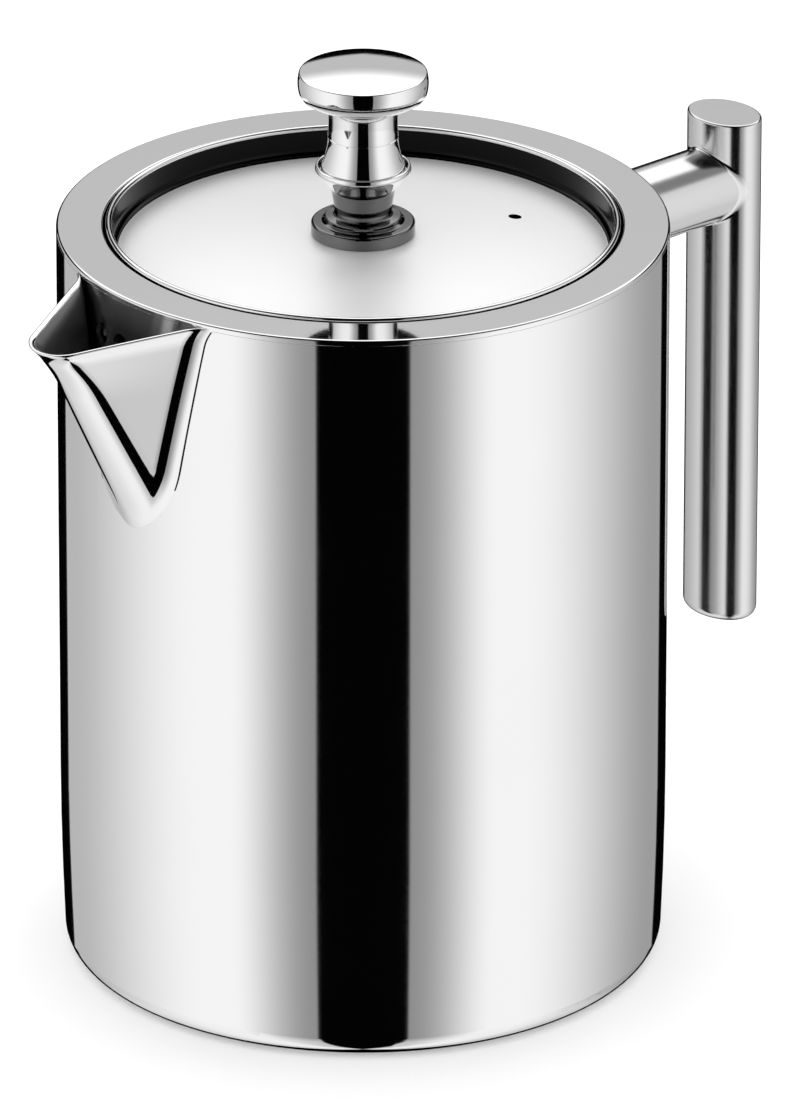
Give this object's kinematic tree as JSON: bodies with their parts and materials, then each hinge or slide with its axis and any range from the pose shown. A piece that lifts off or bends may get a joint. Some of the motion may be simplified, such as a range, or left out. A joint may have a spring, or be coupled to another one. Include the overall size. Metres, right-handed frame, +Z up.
{
  "type": "french press",
  "caption": "Double-walled polished steel french press with a vee spout, a post handle on one arm, a pan-shaped lid and a plunger filter.",
  "frame": {"origin": "centre of the base's underside, on the pot's axis, where the press stands", "axes": "+Z up along the pot's axis; the spout points along -X and the handle stands on the +X side"},
  "size_m": [0.1865, 0.12, 0.1856],
  "materials": {
    "polished_steel": "mirror-polished stainless steel",
    "satin_steel": "satin deep-drawn stainless steel",
    "stamped_steel": "tumbled stamped stainless steel",
    "woven_steel": "fine woven stainless wire cloth",
    "spring_wire": "bright drawn spring wire",
    "weld_steel": "weld bead, polished over"
  },
  "bodies": {
    "pot": {"outer_shell": "polished_steel", "base_plate": "satin_steel", "inner_liner": "satin_steel", "rim_ring": "polished_steel", "pour_duct": "satin_steel", "spout": "polished_steel", "handle_arm": "polished_steel", "handle_grip": "polished_steel", "grip_top_cap": "polished_steel", "grip_end_cap": "polished_steel", "grip_weld_bead": "weld_steel", "arm_weld_bead": "weld_steel"},
    "lid": {"lid_cover": "polished_steel", "lid_skirt": "satin_steel", "guide_bush": "polished_steel", "bush_nut": "satin_steel"},
    "filter": {"filter_hub": "stamped_steel", "filter_nut": "stamped_steel", "cross_plate": "stamped_steel", "filter_mesh": "woven_steel", "spring_plate": "stamped_steel", "edge_spring": "spring_wire"},
    "rod": {"plunger_rod": "polished_steel", "rod_lock_nut": "stamped_steel", "knob": "polished_steel"}
  },
  "joints": [
    {"name": "lid_lift", "type": "slide", "parent": "pot", "child": "lid", "axis": [0, 0, 1], "range_m": [0, 0.2]},
    {"name": "plunger_slide", "type": "slide", "parent": "lid", "child": "filter", "axis": [0, 0, 1], "range_m": [0, 0.1]},
    {"name": "rod_turn", "type": "hinge", "parent": "filter", "child": "rod", "pos_m": [0, 0, 0.1], "axis": [0, 0, 1], "continuous": true}
  ]
}
